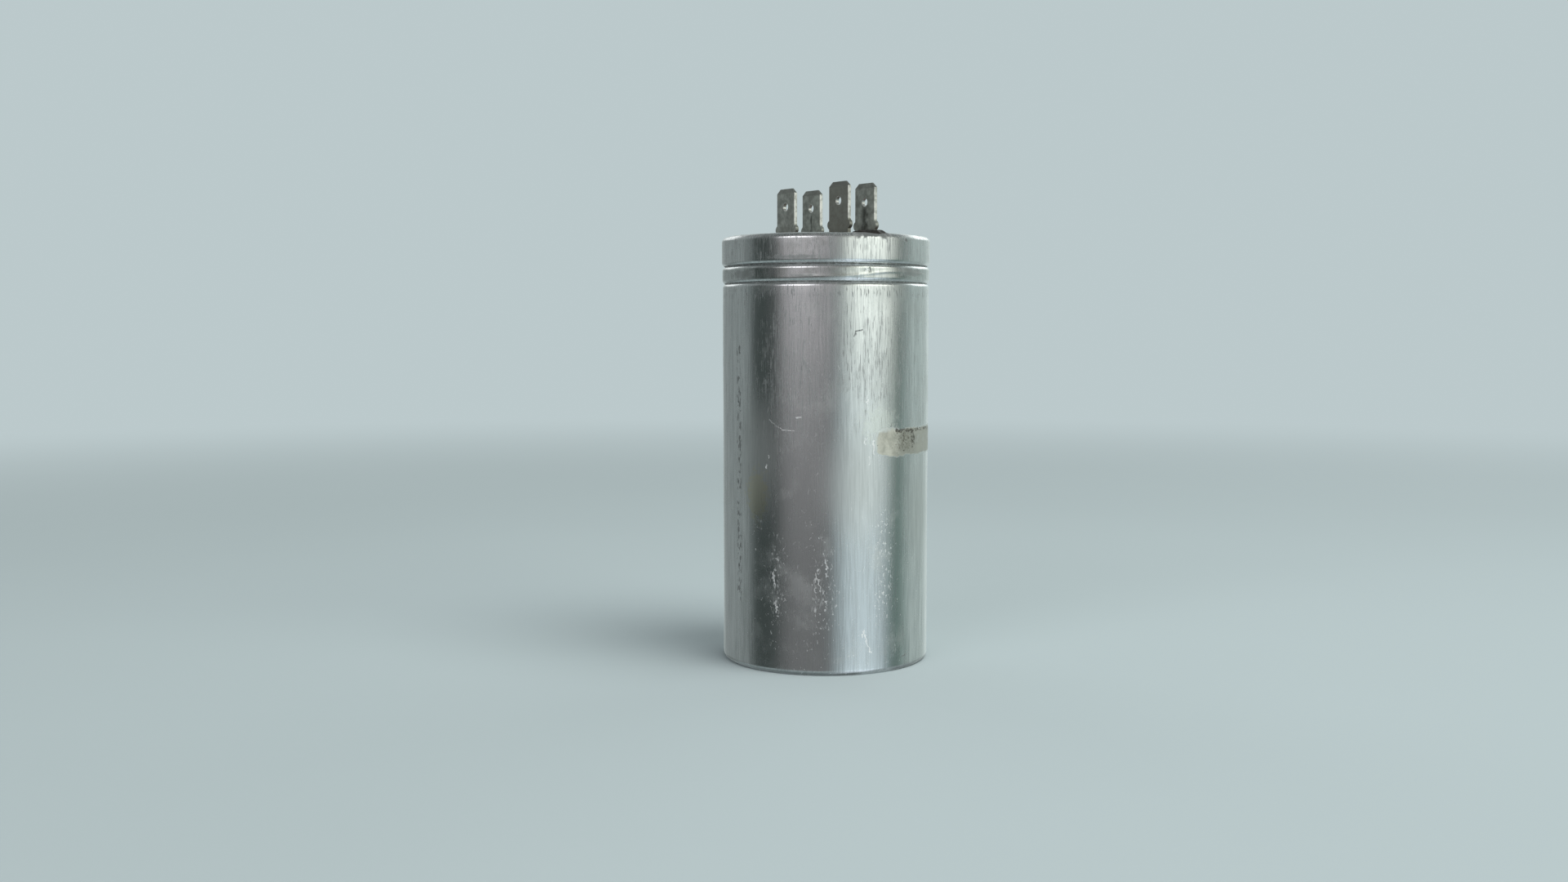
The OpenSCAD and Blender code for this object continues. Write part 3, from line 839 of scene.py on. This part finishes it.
def make_glue():
    """The strip of adhesive, with its cover stored on its mesh."""
    top = []
    bottom = []
    films = []
    for i in range(GLUE_COLUMNS + 1):
        share = i / GLUE_COLUMNS
        degrees = GLUE_START + (GLUE_END - GLUE_START) * share
        turn = math.radians(degrees)
        low, high = glue_edges(degrees)
        ends = min(1, 12 * share, 12 * (1 - share))
        side = RIGHT * math.sin(turn) + FRONT * math.cos(turn)
        outer = []
        inner = []
        for j in range(GLUE_ROWS + 1):
            across = j / GLUE_ROWS
            z = low + (high - low) * across
            inside = min(1, 5 * across, 5 * (1 - across)) * ends
            lumps = 0.75 + 0.5 * noise.noise(Vector((degrees / 4, z / 1.4, 2)))
            wall = BODY_R + sheet_offset(turn, z)
            up = Vector((0, 0, z))
            outer.append(side * (wall + GLUE_LIFT + GLUE_THICK * lumps * inside) + up)
            inner.append(side * (wall - GLUE_SUNK) + up)
            films.append(glue_film(degrees, z, low, high))
        top.append(outer)
        bottom.append(inner)
    piece = shell_piece("label_glue", top, bottom, glue_residue())
    film = piece.data.attributes.new(GLUE_FILM, "FLOAT", "POINT")
    film.data.foreach_set("value", films + [0] * len(films))
    return piece


# Black residue by the right terminal: its middle in degrees right of the front and from the axis, its reach
# inwards, outwards and to each side, its top, its thickness at the edge, its depth, and its gap to the band
TAR_TURN = 27
TAR_R = 18.3
TAR_IN = 3.8
TAR_OUT = 4.0
TAR_SIDE = 4.6
TAR_TOP = 92.6
TAR_LIFT = 0.03
TAR_SUNK = 0.01
TAR_GAP = 0.1
TAR_GRID = 56

# Section of what the residue lies on, as (radius, height): lid, rubber ring, lip, crest and outer side
GROUND = [
    (0, 91.0),
    (18.7, 91.0),
    (19.1, 90.75),
    (20.0, 90.8),
    (20.2, 91.2),
    (20.8, 91.75),
    (21.4, 91.98),
    (22.0, 91.85),
    (22.5, 91.4),
    (22.66, 90.9),
]


def ground(r):
    """Height of what the residue lies on."""
    for (r0, z0), (r1, z1) in zip(GROUND, GROUND[1:]):
        if r <= r1:
            return z0 + (z1 - z0) * (r - r0) / (r1 - r0)
    return GROUND[-1][1]


def tar_point(u, v):
    """Top and underside of the residue at one place of a square grid, from -1 to 1, drawn in to be round."""
    out = u * math.sqrt(1 - v * v / 2)
    side = v * math.sqrt(1 - u * u / 2)
    edge = math.hypot(out, side)
    swing = Vector((out, side, 0)) / max(edge, 0.001)
    ragged = 1 + 0.13 * noise.noise(swing * 1.6 + Vector((0, 0, 5))) + 0.06 * noise.noise(swing * 5)
    r = TAR_R + out * ragged * (TAR_OUT if out > 0 else TAR_IN)
    r = min(r, BAND_R - TAR_GAP)
    turn = math.radians(TAR_TURN) + side * ragged * TAR_SIDE / TAR_R
    base = ground(r)
    falls = 0.25 * step_up(side, 0.2, 1) + 0.35 * step_up(-side, 0.1, 0.9)
    lumps = 0.16 * noise.noise(Vector((out * 2.6, side * 2.6, 3)))
    rise = max(0, TAR_TOP - falls + lumps - base) * step_up(1 - edge, 0, 0.3)
    at = RIGHT * (r * math.sin(turn)) + FRONT * (r * math.cos(turn))
    return at + Vector((0, 0, base + TAR_LIFT + rise)), at + Vector((0, 0, base - TAR_SUNK))


def make_tar():
    """The lump of black residue."""
    steps = [2 * i / TAR_GRID - 1 for i in range(TAR_GRID + 1)]
    grid = [[tar_point(u, v) for v in steps] for u in steps]
    top = [[pair[0] for pair in row] for row in grid]
    bottom = [[pair[1] for pair in row] for row in grid]
    return shell_piece("tar_residue", top, bottom, tar())


def dress_nodes():
    """Gives each CAD node that stays a material; some nodes share one."""
    plastic = {"roughness": 0.45, "fleck": (0.75, 0.74, 0.7), "fleck_share": 0.3}
    white = moulded("inner_plastic", COLOURS["inner_plastic"], **plastic)
    finishes = {
        "lid": moulded("lid_phenolic", COLOURS["lid_phenolic"], 0.5, (0.2, 0.13, 0.08), 0.5),
        "seal_ring": moulded("seal_rubber", COLOURS["seal_rubber"], 0.7, (0.12, 0.12, 0.11), 0.6),
        "terminal_left": tinned_strip("tinned_strip_left", -1, -1, 0.3, 0),
        "terminal_right": tinned_strip("tinned_strip_right", 1, 1, 0.9, -1),
        "terminal_rivets": worn_metal("tinned_rivet", COLOURS["tinned_rivet"], 0.38, 5),
        "film_roll": moulded("film", COLOURS["film"], 0.3, (0.6, 0.62, 0.62), 0.4),
        "wrap_sleeve": moulded("sleeve", COLOURS["sleeve"], 0.45, (0.6, 0.5, 0.3), 0.4),
        "core_tube": white,
        "base_dish": white,
        "top_disc": white,
    }
    tags = worn_metal("tinned_tag", COLOURS["tinned_strip"], 0.4, 5)
    copper = worn_metal("lead_copper", COLOURS["lead_copper"], 0.35, 4)
    sprayed = worn_metal("sprayed_metal", COLOURS["sprayed_metal"], 0.6, 2.5)
    finishes.update({"tag_left": tags, "tag_right": tags, "lead_short": copper, "lead_long": copper})
    finishes.update({"contact_top": sprayed, "contact_bottom": sprayed})
    for name, material in finishes.items():
        slots = frame["nodes"][name].data.materials
        slots.clear()
        slots.append(material)


# Pale stage colour, the floor's radius in metres and its sides, and where its own shading fades, in metres
STAGE = (0.5, 0.585, 0.6)
FLOOR_R = 4.0
FLOOR_SIDES = 64
FLOOR_NEAR = 0.25
FLOOR_FAR = 0.9


def make_floor():
    """A pale floor that takes the shadow near the can and runs into the background far from it."""
    turns = [2 * math.pi * k / FLOOR_SIDES for k in range(FLOOR_SIDES)]
    rim = [(FLOOR_R * math.cos(a), FLOOR_R * math.sin(a), 0) for a in turns]
    mesh = bpy.data.meshes.new("floor")
    mesh.from_pydata(rim, [], [tuple(range(FLOOR_SIDES))])
    floor = bpy.data.objects.new("floor", mesh)
    scene.collection.objects.link(floor)
    floor.visible_glossy = False
    material, t = new_material("floor")
    place = t.add("ShaderNodeTexCoord").outputs["Object"]
    away = t.smooth(t.length(place), FLOOR_NEAR, FLOOR_FAR)
    seen = t.add("ShaderNodeLightPath").outputs["Is Camera Ray"]
    cloud = t.noise(place, 6, 3)
    colour = t.mix(cloud, [0.98 * c for c in STAGE], [1.02 * c for c in STAGE])
    near = t.add("ShaderNodeBsdfDiffuse", {"Color": colour}).outputs[0]
    far = t.add("ShaderNodeEmission", {"Color": STAGE}).outputs[0]
    mixed = t.add("ShaderNodeMixShader", {0: t.product(away, seen), 1: near, 2: far}).outputs[0]
    t.add("ShaderNodeOutputMaterial", {"Surface": mixed})
    mesh.materials.append(material)


# Soft panels round the can: middle in degrees right of the camera, half width, soft edge, colour, and the
# light at each of the levels that the slopes below part
PANELS = [
    (41, 1, 40, (0.86, 1.0, 1.07), (0, 0.8, 0.6, 0, 0, 0)),
    (49, 1, 41, (1.0, 1.02, 0.94), (0, 0, 0, 1.32, 0.4, 0.1)),
    (-22, 12, 28, (1.06, 0.96, 1.0), (0, 0.15, 0.08, 0.46, 0.4, 0.1)),
    (145, 30, 32, (0.87, 1.0, 0.97), (0, 0.35, 0.5, 0.52, 0.45, 0.1)),
    (-152, 52, 16, (0.93, 1.0, 1.01), (0, 0.15, 0.25, 0.25, 0.25, 0.1)),
    (86, 4, 16, (0.5, 1.0, 0.85), (0, 0.05, 0.1, 0, 0, 0)),
    (42, 12, 16, (0.92, 0.97, 1.1), (0.6, 0.3, 0, 0, 0, 0)),
    (-34, 10, 14, (1.0, 0.95, 0.99), (0, 0, 0, 0, 2.0, 0)),
    (55, 12, 15, (1.0, 1.0, 0.9), (0, 0, 0, 0, 1.8, 0)),
    (140, 12, 12, (1.0, 1.0, 1.0), (0, 0, 0, 0, 1.4, 0)),
    (-146, 10, 12, (1.0, 1.0, 1.0), (0, 0, 0, 0, 1.0, 0)),
]
# Where one level gives way to the next, as the sine of the angle above the horizon
SLOPES = [(-0.6, -0.4), (-0.33, -0.21), (-0.1, 0.04), (0.14, 0.28), (0.5, 0.66)]
# Light of the room at eye level, below and above
ROOM = (0.048, 0.06, 0.057)
ROOM_LOW = (0.36, 0.42, 0.43)
ROOM_HIGH = (0.13, 0.14, 0.14)


def make_world():
    """A plain room with soft panels; the camera sees the stage colour behind the floor."""
    world = bpy.data.worlds.new("studio")
    scene.world = world
    t = Tree(world)
    direction = t.add("ShaderNodeTexCoord").outputs["Generated"]
    right = t.dot(direction, RIGHT)
    front = t.dot(direction, FRONT)
    up = t.height_of(direction)
    level = t.math("MAXIMUM", t.length(t.join(right, front)), 0.001)
    light = t.mix(t.smooth(up, 0.05, 0.5), ROOM, ROOM_HIGH)
    light = t.mix(t.smooth(up, -0.35, -0.6), light, ROOM_LOW)
    for middle, half, edge, colour, levels in PANELS:
        a = math.radians(middle)
        towards = t.math("ADD", t.product(right, math.sin(a)), t.product(front, math.cos(a)))
        inner = math.cos(math.radians(half))
        outer = math.cos(math.radians(half + edge))
        strength = levels[0]
        for slope, before, after in zip(SLOPES, levels, levels[1:]):
            strength = t.math("ADD", t.smooth(up, *slope, 0, after - before), strength)
        share = t.product(t.smooth(t.math("DIVIDE", towards, level), outer, inner), strength)
        panel = t.add("ShaderNodeVectorMath", {0: colour, "Scale": share}, operation="SCALE").outputs[0]
        light = t.vector("ADD", light, panel)
    seen = t.add("ShaderNodeLightPath").outputs["Is Camera Ray"]
    room = t.add("ShaderNodeBackground", {"Color": light}).outputs[0]
    behind = t.add("ShaderNodeBackground", {"Color": STAGE}).outputs[0]
    mixed = t.add("ShaderNodeMixShader", {0: seen, 1: room, 2: behind}).outputs[0]
    t.add("ShaderNodeOutputWorld", {"Surface": mixed})


# Overhead lamp: place right of, in front of and above the can and its size, in metres, and its power in watts
LAMP_PLACE = (0.35, 0.25, 0.9)
LAMP_SIZE = 0.7
LAMP_POWER = 5.5


def make_lamp():
    """A soft round lamp that lights the floor, the lid and the residues."""
    data = bpy.data.lights.new("overhead", "AREA")
    data.shape = "DISK"
    data.size = LAMP_SIZE
    data.energy = LAMP_POWER
    lamp = bpy.data.objects.new("overhead", data)
    scene.collection.objects.link(lamp)
    lamp.location = RIGHT * LAMP_PLACE[0] + FRONT * LAMP_PLACE[1] + Vector((0, 0, LAMP_PLACE[2]))
    lamp.rotation_euler = (-lamp.location).to_track_quat("-Z", "Y").to_euler()
    lamp.visible_glossy = False


def make_camera():
    """The photograph's camera, as its outlines give it."""
    data = bpy.data.cameras.new("camera")
    data.lens = CAMERA_LENS
    data.sensor_width = CAMERA_SENSOR
    data.sensor_fit = "HORIZONTAL"
    data.clip_start = CAMERA_NEAR * MM
    camera = bpy.data.objects.new("camera", data)
    scene.collection.objects.link(camera)
    camera.location = (RIGHT * CAMERA_SIDE + FRONT * CAMERA_AWAY + Vector((0, 0, CAMERA_HIGH))) * MM
    camera.rotation_euler = (math.pi / 2 + CAMERA_PITCH, 0, VIEW_TURN)
    scene.camera = camera


def build():
    """The dressed part: the can's sheet, the residues on it, and the nodes that stay."""
    can = make_can()
    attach(can, "root")
    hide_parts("can")
    for residue in (make_glue(), make_tar()):
        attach(residue, "root")
    dress_nodes()


build()
make_floor()
make_world()
make_lamp()
make_camera()
scene.view_settings.view_transform = "Standard"
